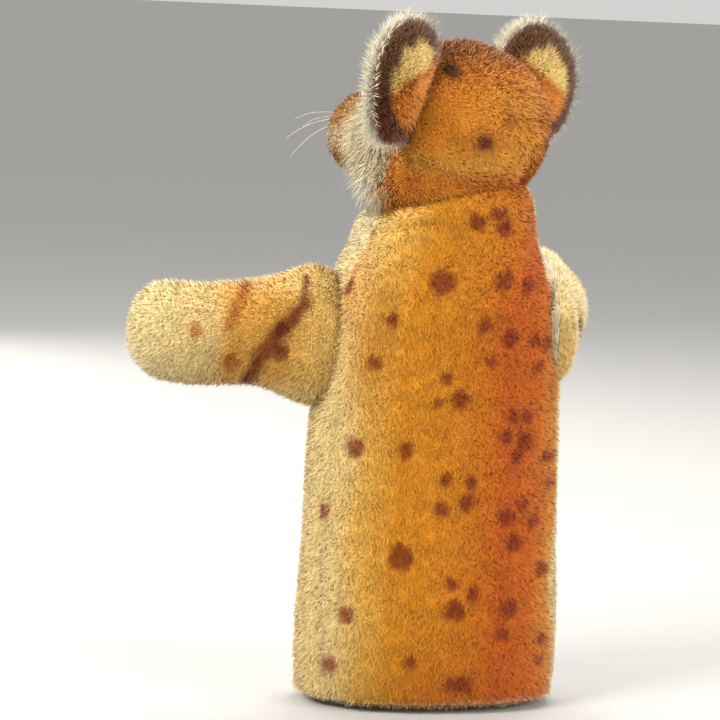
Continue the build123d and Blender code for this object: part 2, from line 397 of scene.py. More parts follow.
def smooth_line(x, stops):
    """A smooth curve through (place, value) pairs."""
    places, values = np.array(stops, float).T
    slopes = np.gradient(values, places)
    i = np.clip(np.searchsorted(places, x) - 1, 0, len(places) - 2)
    gap = places[i + 1] - places[i]
    t = np.clip((x - places[i]) / gap, 0, 1)
    a, b = 2 * t**3 - 3 * t**2 + 1, t**3 - 2 * t**2 + t
    c, d = -2 * t**3 + 3 * t**2, t**3 - t**2
    return a * values[i] + b * gap * slopes[i] + c * values[i + 1] + d * gap * slopes[i + 1]


def glove_at(u, h):
    """The glove's outer cloth at angle u round its axis and height h."""
    c, s = np.cos(u), np.sin(u)
    closing = h + NECK_DROP * rise(c, -0.1, 0.9) * rise(h, 150, 173)
    wide = smooth_line(closing, SIDES) * GLOVE_HALF
    deep = smooth_line(closing, DEPTHS) * wide
    p = np.stack([wide * np.sign(c) * np.abs(c) ** CORNER, deep * np.sign(s) * np.abs(s) ** CORNER, h],
                 axis=-1)
    out = np.stack([c, s, 0 * c], axis=-1)
    across = p @ ACROSS
    rear = np.clip(s * 3, 0, 1)
    under_arm = np.exp(-((across + 22 - 0.18 * (h - 110)) / 5.5) ** 2)
    under_arm *= rise(h, 92, 112) * (1 - rise(h, 140, 160))
    above_hem = np.exp(-((across + 39 - 9 * np.exp(-h / 9)) / 2.2) ** 2) * (1 - rise(h, 48, 62))
    under_neck = np.exp(-((h - 168 - 0.16 * (across + 12)) / 1.8) ** 2) * (1 - rise(across, -8, 4))
    dent = 1.3 * under_arm + 1.5 * above_hem + 1.0 * under_neck
    soft = 0.8 * ripple(p, 60, 3) * (1 - rise(h, 168, 180)) * rise(h, 2, 14)
    return p + out * (soft - dent * rear)[..., None]


def panel_rows(b):
    """Heights up a panel, and the angle of the left side seam at each."""
    h = HEM_LIFT + b * (NECK_TOP - HEM_LIFT)
    level = np.minimum(h, 150)
    deep = smooth_line(level, DEPTHS) * smooth_line(level, SIDES) * GLOVE_HALF
    return h, np.arcsin(np.minimum(SEAM_Y / deep, 0.9))


def back_surface(a, b):
    h, seam = panel_rows(b)
    return glove_at(seam + a * (math.pi - 2 * seam), h)


def front_surface(a, b):
    h, seam = panel_rows(b)
    return glove_at(math.pi - seam + a * (math.pi + 2 * seam), h)


PILE_SPLIT = 92                              # height at which a panel's pile is divided into two meshes
# Spots on the back: place across the back, height, radius.
BACK_SPOTS = [
    (11, 167, 2.6), (18, 170, 2.4), (20, 165, 2.7), (-25, 162, 1.7), (-32, 143, 2.6), (0, 146, 4.3),
    (21, 147, 3.2), (29, 145, 2.3), (-16, 132, 2.5), (15, 131, 2.5), (24, 127, 2.9), (33, 126, 2.4),
    (37, 125, 2.3), (-22, 117, 2.4), (18, 119, 2.0), (34, 117, 2.0), (3, 113, 1.9), (8, 106, 3.1),
    (1, 105, 1.7), (26, 100, 2.4), (31, 100, 2.2), (24, 93, 2.5), (31, 91, 3.3), (28, 86, 2.3),
    (-27, 88, 3.2), (-10, 88, 2.9), (39, 85, 2.2), (40, 76, 1.8), (4, 78, 2.0), (13, 77, 2.4),
    (3, 68, 2.5), (12, 71, 2.9), (26, 65, 3.0), (31, 69, 2.2), (35, 63, 1.9), (29, 56, 2.9),
    (-38, 65, 2.9), (-10, 51, 4.4), (8, 42, 2.1), (15, 39, 2.7), (9, 33, 3.4), (39, 46, 2.5),
    (-28, 30, 2.6), (28, 33, 3.0), (26, 24, 2.2), (-33, 12, 2.7), (-5, 15, 2.1), (10, 7, 2.9),
    (14, 7, 2.9), (40, 21, 2.2), (39, 14, 1.8)]
FRONT_SPOTS = [(-30, 60, 2.4), (26, 84, 2.2), (-20, 104, 2.0), (33, 44, 2.4), (-34, 26, 2.2), (30, 128, 2.0)]


def spotted(base, x, y, spots, p, colour=SPOT, edge=1.3, strength=0.8):
    """Airbrushed spots with soft uneven edges."""
    wobble = ripple(p, 4.5, 11) * 0.8
    cover = np.zeros(len(p))
    for sx, sy, radius in spots:
        away = np.hypot(x - sx, (y - sy) * 0.92) + wobble
        cover = np.maximum(cover, 1 - rise(away, radius - edge, radius + edge))
    return mix(base, linear(colour), cover * strength)


def back_colour(p):
    across, h = p @ ACROSS, p[:, 2]
    place = across + 2.2 * ripple(p, 45, 5) - 9 * rise(h, 120, 175)
    base = ramp(place, [(-40, CREAM), (-32, CREAM), (-23, (242, 190, 84)), (-12, GOLD), (4, (236, 152, 24)),
                        (14, AMBER), (24, RUST), (34, (224, 114, 12)), (42, (232, 150, 46)), (45, CREAM)])
    shoulder = np.exp(-((across + 38) / 12) ** 2 - ((h - 148) / 14) ** 2)
    base = mix(base, linear(GOLD), 0.75 * shoulder)
    base = mix(base, linear((214, 130, 16)), 0.5 * np.exp(-((across + 22) / 8) ** 2 - ((h - 128) / 20) ** 2))
    base = mix(base, linear(RUST), 0.55 * (1 - rise(h, 0, 34)) * rise(across, -24, 6))
    base = mix(base, linear((238, 196, 110)), 0.7 * np.exp(-((across + 30) / 9) ** 2 - ((h - 160) / 8) ** 2))
    # Painted glints and shade along the woven rows, and uneven tone.
    base = base * (1 + 0.07 * woven_row_glints(p) + 0.06 * ripple(p, 9, 9))[:, None]
    return spotted(base, across, h - 3.8, BACK_SPOTS, p, strength=0.85)


def woven_row_glints(p):
    """The faint rows in which the pile is woven, painted as glints and shade, from -1 to 1."""
    return np.sin(p[:, 2] * 4.6 + 2 * ripple(p, 16, 8))


def front_colour(p):
    across, h = p[:, 0], p[:, 2]
    base = mix(linear(PALE), linear(CREAM), rise(np.abs(across) + 4 * ripple(p, 30, 6), 22, 44))
    # Painted glints and shade along the woven rows.
    base = base * (1 + 0.06 * woven_row_glints(p))[:, None]
    return spotted(base, across, h, FRONT_SPOTS, p, (190, 132, 74), 1.5, 0.55)


def glove():
    sheets = (("back", back_surface, back_colour, 0.88, 5.6, "golden_mohair", 21),
              ("front", front_surface, front_colour, 0.85, 4.0, "cream_mohair", 25))
    for side, surface, colour, tone, density, finish, seed in sheets:
        cloth = shell(f"{side}_cloth", surface, lambda p: colour(p) * tone, GROUND, 1.6, 120, 80)
        halves = (("low", seed, lambda p: p[:, 2] < PILE_SPLIT),
                  ("high", seed + 2, lambda p: p[:, 2] >= PILE_SPLIT))
        piles = [pelt(f"{side}_pile_{part}", surface, density, colour, pile_length, lie_of_glove, own, PILE,
                      keep=keep) for part, own, keep in halves]
        for piece in (cloth, *piles):
            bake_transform(piece)
        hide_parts(f"{side}_panel")


def pile_length(p):
    """Short pile, longer just above the hem."""
    return 1.9 + 0.2 * ripple(p, 12, 14) + 1.0 * (1 - rise(p[:, 2], 5, 9))


def lie_of_glove(p):
    """The pile is brushed down, and outwards at the sides."""
    return np.stack([0.35 * p[:, 0] / 40 + 0.2 * ripple(p, 14, 15), 0 * p[:, 0],
                     -0.8 + 0.3 * ripple(p, 10, 16)], axis=-1)


# ---- the hem ----
def hem_surface(a, b):
    """The rolled edge and the turned-up cloth inside it."""
    rim = glove_at(a * 2 * math.pi, np.full_like(a, HEM_LIFT))
    inward = unit(rim * (-1, -1, 0))
    roll, turned_up, share = 1.8, 12, 0.35
    around = np.clip(b / share, 0, 1) * math.pi
    climb = np.clip((b - share) / (1 - share), 0, 1) * turned_up
    depth = roll * (1 - np.cos(around))
    drop = -roll * np.sin(around) * 0.9
    return rim + inward * depth[..., None] + np.stack([0 * a, 0 * a, drop + climb], axis=-1)


def hem():
    rows, columns, thick = 22, 200, 0.6
    a, b = grid(rows, columns, closed=True)
    outer = hem_surface(a, b)
    inner = outer + unit(outer * (-1, -1, 0)) * thick * rise(b, 0.3, 0.5)[:, None]
    inner[:, 2] += thick * (1 - rise(b, 0.3, 0.5))
    faces = grid_faces(rows, columns, closed=True, flip=True)
    faces += grid_faces(rows, columns, len(outer), closed=True)
    last = (rows - 1) * columns
    for j in range(columns):
        k = (j + 1) % columns
        faces.append([j, k, k + len(outer), j + len(outer)])
        faces.append([last + k, last + j, last + j + len(outer), last + k + len(outer)])
    facing = mesh_object("hem_cloth", np.vstack([outer, inner]), faces, GROUND)
    paint(facing, np.tile(front_colour(outer) * 0.8, (2, 1)))
    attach(facing, "glove")
    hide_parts("hem_facing")

    def rim(a, b):
        return hem_surface(a, 0.02 + 0.2 * b)

    def down(p):
        return np.stack([0.35 * p[:, 0] / 40, 0.35 * p[:, 1] / 28, -2 + 0 * p[:, 0]], axis=-1)

    def tuft(p):
        light = mix(linear(CREAM), linear(WHITE), 0.5 + 0.5 * ripple(p, 3, 31))
        return mix(light, linear((170, 104, 44)), 0.55 * rise(ripple(p, 2.2, 32), 0.2, 0.9))
    fringe = pelt("hem_fringe", rim, 16, tuft, 4.6, down, 41, PILE, lean=1.0, mess=0.2, width=0.34)
    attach(fringe, "glove")


# ---- the arms ----
# Radius of a sleeve by the distance along it from the shoulder.
ARM_ALONG = [(-14.6, 0.0), (-13.6, 11), (-10, 18.0), (-4, 21.9), (0, 22.8), (5, 21.7), (11, 19.5),
             (19, 17.2), (30, 16.2), (42, 16.5), (50, 16.1), (54.5, 14.8), (58, 12.0), (60.5, 8.0),
             (61.6, 4.0), (62, 0.0)]
ARM_TIP = 62.0
ARM_FLAT = 0.68                              # depth of a sleeve as a share of its height
HIGHEST_ARM = 30                             # either arm can be raised this far above level, degrees
# Spots and bars on the back of an arm: along it from the shoulder, up, radius, then colour and strength.
ARM_SPOTS = [(39.7, 1, 2.4, (204, 128, 40)), (27.4, -8.3, 3.0, (186, 100, 20)), (10, -5.1, 2.9, (120, 34, 2)),
             (10.6, 2.4, 2.4, (104, 34, 4))]
ARM_BARS = [([(2.4, 20, 1.6), (2.6, 12, 3.4), (10.5, 2, 5.2), (17, -7, 4.4), (21, -15, 3.4)],
             (134, 50, 4), 0.9),
            ([(22.5, 18, 2.4), (25, 10, 3.4), (29, 3.6, 2.6)], (196, 108, 22), 0.75)]


def arm_frame(side):
    """The shoulder's centre, the way the arm points, the way its back looks and its own up."""
    swing, lift = joint_of(f"{side}_arm_swing"), joint_of(f"{side}_arm_raise")
    centre, axis = np.array(swing["pos_m"]) / MM, unit(lift["axis"])
    low, high = box_mm(f"{side}_arm_back")
    level = np.cross((0, 0, 1), axis)
    level = level * np.sign(level @ ((low + high) / 2 - centre))
    rest = math.radians(HIGHEST_ARM - lift["range_deg"][1])
    along = level * math.cos(rest) + np.array([0, 0, math.sin(rest)])
    back = np.cross((0, 0, 1), level) * (1 if side == "left" else -1)
    return centre, along, back, np.array([0, 0, math.cos(rest)]) - level * math.sin(rest)


def arm_surface(side, half, t0, t1):
    """Part of one half of a sleeve: half is 1 for its back and -1 for its front."""
    centre, along, back, up_way = arm_frame(side)
    mirror = 1 if side == "left" else -1

    def surface(a, b):
        t = t0 + (t1 - t0) * b
        angle = (a - 0.5) * math.pi * half * mirror
        # The right sleeve points forward, so its root is drawn in towards the front panel.
        slack = (1 - rise(t, 0, 26)) * (0 if side == "left" else 1)
        radius = np.maximum(smooth_line(t, ARM_ALONG), 0.0) * (1 - 0.26 * slack)
        up = np.sin(angle) * radius + 3 * slack
        flat = ARM_FLAT * (0.74 + 0.26 * rise(t, 0, 20))
        deep = np.cos(angle) * radius * flat * half * (1 - 0.1 * slack) - 5 * slack
        p = centre + t[..., None] * along + deep[..., None] * back + up[..., None] * up_way
        bend = 0.9 * ripple(np.stack([t, up, deep], axis=-1), 34, 51)
        out = unit(p - (centre + t[..., None] * along))
        return p + out * (bend * rise(radius, 2, 10))[..., None]
    return surface


def bar_cover(x, y, line, p):
    """How far each point is covered by an airbrushed bar along a line of (x, y, half width)."""
    cover = np.zeros(len(p))
    for (x0, y0, w0), (x1, y1, w1) in zip(line, line[1:]):
        reach = np.array([x1 - x0, y1 - y0], float)
        t = np.clip(((x - x0) * reach[0] + (y - y0) * reach[1]) / (reach @ reach), 0, 1)
        away = np.hypot(x - x0 - t * reach[0], y - y0 - t * reach[1]) + ripple(p, 7, 12) * 0.6
        cover = np.maximum(cover, 1 - rise(away / (w0 + (w1 - w0) * t), 0.15, 1.15))
    return cover


def arm_colour(side, half):
    centre, along, _, up_way = arm_frame(side)

    def colour(p):
        t, up = (p - centre) @ along, (p - centre) @ up_way
        # All that is seen of the right arm is as pale as a paw.
        t_soft = t + 2.5 * ripple(p, 25, 52) + (46 if side == "right" else 0)
        if half > 0:
            base = ramp(t_soft, [(-10, (244, 204, 118)), (2, (240, 192, 98)), (14, (236, 176, 74)),
                                 (28, (238, 182, 84)), (36, CREAM), (60, (250, 226, 164))])
            base = mix(base, linear(CREAM), 0.6 * rise(np.abs(up), 12, 19))
            for line, shade, share in ARM_BARS:
                base = mix(base, linear(shade), share * bar_cover(t, up, line, p))
            for x, y, radius, shade in ARM_SPOTS:
                base = spotted(base, t, up, [(x, y, radius)], p, shade, 1.2, 0.8)
        else:
            base = np.tile(linear(PALE), (len(p), 1))
        return base * (1 + 0.07 * ripple(p, 8, 53))[:, None]
    return colour


def arm_piece(side, half, name, part, t0, t1, rows):
    """The cloth and pile of one half of a sleeve (part is arm) or of its rounded root (part is shoulder)."""
    centre, along, _, _ = arm_frame(side)
    colour, surface = arm_colour(side, half), arm_surface(side, half, t0, t1)
    title = f"{side}_{part}_{name}"
    cloth = shell(f"{title}_cloth", surface, lambda p: colour(p) * 0.88, GROUND, 1.0, rows, 40)
    seed = 60 + 8 * (side == "right") + 4 * (half > 0) + 2 * (part == "shoulder")
    lie = along * 0.8 + np.array([0, 0, -0.5])
    pile = pelt(f"{title}_pile", surface, 5.6, colour, 2.6, lie, seed, PILE, mess=0.24)
    for piece in (cloth, pile):
        if part == "arm":
            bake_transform(piece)
        else:
            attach(piece, f"{side}_shoulder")
    if part == "arm":
        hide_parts(f"{side}_arm_{name}")
    elif half > 0:
        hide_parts(f"{side}_shoulder_band")


def arms():
    for side in ("left", "right"):
        for half, name in ((1, "back"), (-1, "front")):
            arm_piece(side, half, name, "shoulder", ARM_ALONG[0][0], 0.5, 22)
            arm_piece(side, half, name, "arm", 0.4, ARM_TIP, 90)



# ---- the head ----
NOSE_LOW, NOSE_HIGH = box_mm("nose")
NOSE_AT = (NOSE_LOW + NOSE_HIGH) / 2
FACE = np.stack([HEAD_X, HEAD_F, (0, 0, 1)])                   # rows: own left, forward, up
SNOUT_SIZE = np.array([16.0, 15.0, 15.0])
SNOUT_AT = FACE @ (NOSE_AT - SKULL_AT) * (0, 1, 1) - (0, 12.0, 8.0)    # in the head's own axes, like the next
JOWL_AT, JOWL_SIZE = np.array([13.0, 3.0, -18.0]), np.array([16.0, 18.0, 13.0])
EYE_AT = {s: FACE @ (EYES[s] - SKULL_AT) for s in EYES}


def place_on_head(p):
    """Own left, forward and up from the middle of the skull."""
    return (p - SKULL_AT) @ FACE.T


def reach(way, centre, size):
    """How far a ray from the skull's middle goes before it leaves an ellipsoid, or 0."""
    d, c = way / size, centre / size
    dd, dc = (d * d).sum(-1), d @ c
    inside = dc * dc - dd * (c @ c - 1)
    return np.where(inside > 0, (dc + np.sqrt(np.maximum(inside, 0))) / dd, 0)


def soft_top(a, b, k):
    """The larger of a and b, rounded over where they are within k of each other."""
    h = np.clip(0.5 + 0.5 * (a - b) / k, 0, 1)
    return b + (a - b) * h + k * h * (1 - h)


def bulge(way, centre, size):
    """1 along a direction, falling off round it."""
    return np.exp(-((way - unit(centre)) ** 2).sum(-1) / size ** 2)


def head_at(way):
    """The head's outer cloth along a unit direction given in the head's own axes."""
    r = reach(way, np.zeros(3), SKULL)
    r = soft_top(r, reach(way, SNOUT_AT, SNOUT_SIZE), 3.5)
    for s in (-1, 1):
        r = soft_top(r, reach(way, JOWL_AT * (s, 1, 1), JOWL_SIZE), 5)
        r = r + 2.2 * bulge(way, (0.72 * s, 0.58, -0.42), 0.42)
        r = r + 1.5 * bulge(way, (0.36 * s, 0.72, 0.6), 0.3)
        r = r - 1.3 * bulge(way, EYE_AT["left"] * (s, 1, 1), 0.17)
    r = r - 1.0 * np.exp(-(way[..., 0] / 0.05) ** 2) * rise(way[..., 1], 0.86, 0.97)
    p = (way * r[..., None]) @ FACE + SKULL_AT
    flat = way.reshape(-1, 3)
    return p + way @ FACE * (0.5 * ripple(flat * 30, 26, 61).reshape(r.shape))[..., None]


def head_surface(a, b):
    """The head's cloth by turn round its axis and by tilt from bottom to top."""
    turn, tilt = -2 * math.pi * a, (b - 0.5) * math.pi * 0.98
    way = np.stack([np.cos(turn) * np.cos(tilt), np.sin(turn) * np.cos(tilt), np.sin(tilt)], axis=-1)
    return head_at(way)


def head_part(p):
    """Which cut piece of cloth each point is on."""
    l, f, z = place_on_head(p).T
    part = np.where(l > 0, "left_head_side", "right_head_side").astype("<U16")
    cheek = (f > 4) & (z < 5 - 0.35 * (f - 4))
    part[cheek & (l > 0)] = "left_cheek"
    part[cheek & (l <= 0)] = "right_cheek"
    part[(f > -6) & (z < -12) & (np.abs(l) < 13)] = "chin_panel"
    part[(z > 4) & (np.abs(l) < 8)] = "crown_gusset"
    part[(f > 4) & (z > 4 + 0.2 * np.abs(l)) & (np.abs(l) < 8 + 0.5 * (24 - z).clip(0))] = "crown_gusset"
    part[f > SNOUT_AT[1] - 5] = "muzzle_cloth"
    return part


# Spots on both sides of the head: sideways, forward and up from its middle, half sizes, colour and strength.
HEAD_SPOTS = [((19, -12, 20), (2.4, 4, 6.5), BROWN, 0.9), ((17, -25, -4), (2.2, 3, 2.2), BROWN, 0.9),
              ((17, -25, -4), (6, 6, 5), SPOT, 0.35), ((9, -30, 4), (2.6, 3, 2.6), SPOT, 0.45),
              ((10, 16, 22), (2.4, 3, 2.4), SPOT, 0.6), ((4, 21, 19), (2, 2.6, 2), SPOT, 0.6),
              ((20, 12, 14), (2.4, 3, 2.4), SPOT, 0.5)]


def head_colour(p):
    l, f, z = place_on_head(p).T
    side = np.abs(l)
    base = ramp(f + 3 * ripple(p, 24, 62), [(-34, (238, 162, 48)), (-18, (234, 146, 32)), (2, (236, 152, 40)),
                                             (16, (242, 180, 84))])
    base = mix(base, linear((246, 182, 70)), 0.7 * np.exp(-((z + 12 - 0.3 * ripple(p, 20, 67)) / 5) ** 2)
               * rise(side, 6, 16))
    base = mix(base, linear((212, 104, 10)), 0.5 * np.exp(-((z + 18) / 4) ** 2) * (1 - rise(f, -4, 8)))
    base = mix(base, linear((122, 74, 22)), 0.5 * rise(z, 17, 28) * (1 - rise(side, 14, 22)))    # crown
    white = rise(f + 0.12 * z + 2.0 * ripple(p, 9, 63), 2, 8) * (1 - rise(z - 0.2 * side, 1, 9))
    base = mix(base, linear((247, 230, 190)), white)
    snout = rise(f, SNOUT_AT[1] - 2, SNOUT_AT[1] + 5)
    base = mix(base, linear(TAN), snout * rise(z, -20, -14))
    base = mix(base, linear((238, 226, 190)), snout * np.exp(-((z + 6) / 3.5) ** 2) * rise(side, 5, 9) * 0.7)
    base = mix(base, linear(WHITE), rise(f, 8, 14) * (1 - rise(z, -19, -13)))
    base = mix(base, linear((214, 148, 74)), 0.5 * np.exp(-((side - 15) / 4) ** 2 - ((z - 4) / 4.5) ** 2)
               * rise(f, 14, 20))
    for eye in EYE_AT.values():
        away = np.hypot(np.hypot(l - eye[0], z - eye[2]), 0.5 * (f - eye[1]))
        base = mix(base, linear((70, 36, 20)), 0.85 * (1 - rise(away, 5.0, 7.4)))
        base = mix(base, linear((232, 196, 130)), 0.6 * rise(away, 6.5, 8) * (1 - rise(away, 9, 12)))
    for middle, size, colour, share in HEAD_SPOTS:
        away = np.linalg.norm((np.stack([side, f, z], axis=1) - middle) / size, axis=1)
        away = away + ripple(p, 5, 64) * 0.2
        base = mix(base, linear(colour), share * (1 - rise(away, 0.5, 1.6)))
    return base * (1 + 0.06 * ripple(p, 8, 65))[:, None]


def head_length(p):
    """Long on the cheeks, short on the muzzle and round the eyes."""
    l, f, z = place_on_head(p).T
    ruff = rise(f, 4, 10) * (1 - rise(f, SNOUT_AT[1] - 9, SNOUT_AT[1] - 2)) * (1 - rise(z, 2, 12))
    short = rise(f, SNOUT_AT[1] - 4, SNOUT_AT[1] + 4) * 1.2
    eyes = sum(1 - rise(np.linalg.norm(p - EYES[s], axis=1), 5.5, 9) for s in EYES)
    return np.maximum(2.4 + 6.0 * ruff * rise(np.abs(l), 4, 12) - 0.8 * short - 1.4 * eyes, 1.1)


def head_comb(p):
    """The pile is brushed back over the head, and down on the cheeks."""
    l, f, z = place_on_head(p).T
    back = np.stack([0.5 * l / 30, -1 + 0 * f, -0.55 + 0.3 * ripple(p, 12, 66)], axis=-1)
    down = np.stack([0.4 * l / 30, 0 * l, -1.2 + 0 * l], axis=-1)
    cheek = (rise(f, 2, 12) * (1 - rise(z, -2, 8)))[:, None]
    return (back * (1 - 0.6 * cheek) + down * cheek) @ FACE


def clear_of_eyes(p):
    return np.all([np.linalg.norm(p - EYES[s], axis=1) > 4.4 for s in EYES], axis=0)


def head_cloth():
    """Every cut piece of the head, each a closed piece of cloth with its own thickness."""
    rows, columns, thick, tucked = 90, 150, 1.5, 0.5
    p, n = at(head_surface, *grid(rows, columns, closed=True))
    n = np.where(((p - SKULL_AT) * n).sum(1, keepdims=True) < 0, -n, n)
    faces = np.array(grid_faces(rows, columns, closed=True))
    part = head_part(p[faces].mean(axis=1))
    for name in sorted(set(part)):
        mine = faces[part == name]
        used = np.unique(mine)
        seat = {v: i for i, v in enumerate(used)}
        local = [[seat[v] for v in f] for f in mine.tolist()]
        count = len(used)
        edges = {(i, k): None for f in local for i, k in zip(f, f[1:] + f[:1])}
        rim = [(i, k) for i, k in edges if (k, i) not in edges]
        lip = sorted({v for e in rim for v in e})
        outer = p[used].copy()
        outer[lip] -= n[used][lip] * tucked            # the edges are drawn in at the seams
        solid = local + [[i + count for i in f][::-1] for f in local]
        solid += [[k, i, i + count, k + count] for i, k in rim]
        cloth = mesh_object(f"{name}_cut", np.vstack([outer, p[used] - n[used] * thick]), solid, GROUND)
        colour = head_colour(outer) * 0.88
        paint(cloth, np.vstack([colour, np.tile(linear(CLOTH_BACK), (count, 1))]))
        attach(cloth, "head")
        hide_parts(name)


def head_pile():
    regions = {"crown": "crown_gusset", "left_side": "left_head_side", "right_side": "right_head_side",
               "left_ruff": "left_cheek", "right_ruff": "right_cheek", "chin": "chin_panel",
               "muzzle": "muzzle_cloth"}
    for seed, (name, part) in enumerate(regions.items()):
        density = 7.0 if name == "muzzle" else 6.5 if "ruff" in name else 5.4

        def keep(p):
            return (head_part(p) == part) & clear_of_eyes(p) & (p[:, 2] > PIVOT_Z + 1)
        pile = pelt(f"{name}_pile", head_surface, density, head_colour, head_length, head_comb, 80 + seed,
                    PILE, keep=keep, mess=0.28)
        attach(pile, "head")


# ---- the ears ----
EAR_LONG, EAR_HIGH, EAR_PLY = 20.2, 18.0, 1.8           # half sizes of the leaf, and a ply's thickness
EAR_DROP = 1.8                                          # how far the leaf is below its solid's middle
EAR_LEAN, EAR_OPEN = math.radians(35), math.radians(10)  # tilt to the side, and turn outwards


def ear_axes(side):
    """The middle of an ear, its long axis, the way across it and the way its back looks."""
    sign = 1 if side == "left" else -1
    centre = sum(box_mm(f"{side}_ear_back")) / 2 - (0, 0, EAR_DROP)
    along = unit(np.array([0, 0, math.cos(EAR_LEAN)]) - sign * HEAD_X * math.sin(EAR_LEAN))
    back = unit(-HEAD_F * math.cos(EAR_OPEN) - sign * HEAD_X * math.sin(EAR_OPEN))
    back = unit(back - along * (along @ back))
    return centre, along, np.cross(back, along), back, sign


def ear_ply(side, face):
    """One ply of an ear, a leaf cupped forward: face is 1 for its back and -1 for its front."""
    centre, along, across, back, _ = ear_axes(side)

    def surface(a, b):
        turn = -2 * math.pi * a * face
        u, v = np.cos(turn), np.sin(turn)
        narrow = 1 - 0.16 * np.clip(-u, 0, 1) ** 2
        cup = 3.6 * (1 - b ** 2) - 1.6 + 0.5 * np.sin(3 * turn + 1) * b ** 2
        sheet = cup + face * EAR_PLY * 0.55 * np.sqrt(np.clip(1 - b ** 6, 0, 1)) - 0.4
        p = centre + (u * b * EAR_LONG)[..., None] * along + (v * b * narrow * EAR_HIGH)[..., None] * across
        return p + sheet[..., None] * back
    return surface


def ear_colour(side, face):
    centre, along, across, _, sign = ear_axes(side)
    outward = np.sign(across @ (sign * HEAD_X))

    def colour(p):
        u, v = (p - centre) @ along / EAR_LONG, (p - centre) @ across * outward / EAR_HIGH
        r = np.hypot(u, v) + 0.05 * ripple(p, 9, 71)
        if face < 0:
            inner = mix(linear(WHITE), linear((226, 186, 130)), 0.5 * (1 - rise(r, 0.3, 0.8)))
            return mix(inner, linear((150, 96, 60)), 0.35 * (1 - rise(v, -0.9, -0.3)))
        fold = v + 0.6 * u - 0.16 + 0.05 * ripple(p, 8, 72)
        base = mix(linear((234, 146, 36)), linear((250, 214, 130)), rise(fold, -0.1, 0.12))
        # Painted shade in the crease along the fold between the orange and the cream.
        painted_crease_shade = np.exp(-((fold + 0.1) / 0.1) ** 2) * rise(u, -0.8, -0.1)
        base = mix(base, linear((176, 88, 22)), 0.45 * painted_crease_shade)
        inner_side = rise(-v, 0.0, 0.6)
        rim = rise(r, 0.58 + 0.16 * inner_side, 0.78 + 0.2 * inner_side)
        base = mix(base, linear((96, 46, 16)), rim * 0.95)
        # Painted shade darkens the base of the ear next to the head.
        return mix(base, linear((120, 54, 16)), 0.8 * (1 - rise(u + 0.3 * v, -0.9, -0.6)))
    return colour


def ear_cut(side, face, name):
    """A ply's cloth, a shallow dish that thins towards its edge."""
    surface, colour = ear_ply(side, face), ear_colour(side, face)
    back = ear_axes(side)[3]
    rows, columns, thick = 16, 72, 0.7
    a, b = grid(rows, columns, closed=True, first=0.02)
    outer = surface(a, b)
    inner = outer - face * back * thick * (1 - 0.6 * b ** 4)[:, None]
    count, last = len(outer), (rows - 1) * columns
    faces = grid_faces(rows, columns, closed=True)
    faces += grid_faces(rows, columns, count, closed=True, flip=True)
    faces += [list(range(columns))[::-1], [count + j for j in range(columns)]]
    rim = [(last + j, last + (j + 1) % columns) for j in range(columns)]
    faces += [[i, k, k + count, i + count][::-1] for i, k in rim]
    ply = mesh_object(f"{side}_ear_{name}_cut", np.vstack([outer, inner]), faces, GROUND)
    paint(ply, colour(np.vstack([outer, inner])) * 0.88)
    return ply


def ear(side, face, name, density, lean, fringe_density, fringe_long):
    """One ply with its pile and its fringe: face is 1 for the ear's back and -1 for its front."""
    centre, along, across, back, _ = ear_axes(side)
    surface, colour = ear_ply(side, face), ear_colour(side, face)

    def lie(p):
        rest = p - centre
        return unit(rest - np.outer(rest @ back, back)) + np.array([0, 0, 0.15])

    def long(p):
        r = np.hypot((p - centre) @ along / EAR_LONG, (p - centre) @ across / EAR_HIGH)
        return 1.8 + 1.0 * rise(r, 0.6, 0.95) if face > 0 else 3.4 + 3.0 * rise(r, 0.55, 0.95)

    def edge(a, b):
        return surface(a, 0.95 + 0.05 * b)
    ply = ear_cut(side, face, name)
    seed = 100 + 10 * (side == "right") + 5 * (face > 0)
    pile = pelt(f"{side}_ear_{name}_pile", surface, density, colour, long, lie, seed, PILE,
                mess=0.3, lean=lean)
    fringe = pelt(f"{side}_ear_{name}_fringe", edge, fringe_density, colour, fringe_long, lie, seed + 2, PILE,
                  mess=0.24, lean=1.0)
    for piece in (ply, pile, fringe):
        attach(piece, "head")
    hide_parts(f"{side}_ear_{name}")


def ears():
    for side in ("left", "right"):
        ear(side, 1, "back", 7.5, 0.5, 14, 3.4)
        ear(side, -1, "front", 6, 0.8, 34, 6.4)


# ---- nose, mouth, whiskers and eyes ----
def cover(name, material, finish):
    """Give a CAD node its material."""
    node = frame["nodes"][name]
    node.data.materials.clear()
    node.data.materials.append(material)


def tubes(name, lines, radii, material, sides=6):
    """Round threads: each line is a row of points, each radius its thickness or a row of them."""
    points, faces, start = [], [], 0
    for line, radius in zip(lines, radii):
        line = np.asarray(line, float)
        radius = np.broadcast_to(radius, len(line))
        way = unit(np.gradient(line, axis=0))
        side = unit(np.cross(way, unit(np.array([0.31, 0.52, 0.79]))))
        other = np.cross(way, side)
        turn = np.arange(sides) * 2 * math.pi / sides
        ring = np.cos(turn)[None, :, None] * side[:, None] + np.sin(turn)[None, :, None] * other[:, None]
        points.append((line[:, None] + ring * radius[:, None, None]).reshape(-1, 3))
        faces += grid_faces(len(line), sides, start, closed=True)
        last = start + (len(line) - 1) * sides
        faces += [[start + j for j in range(sides)][::-1], [last + j for j in range(sides)]]
        start += len(line) * sides
    return mesh_object(name, np.vstack(points), faces, material)


def on_head(places, lift):
    """Places in the head's own axes, moved onto its cloth and lifted off it."""
    way = unit(np.asarray(places, float))
    return head_at(way) + way @ FACE * np.asarray(lift, float).reshape(-1, 1)


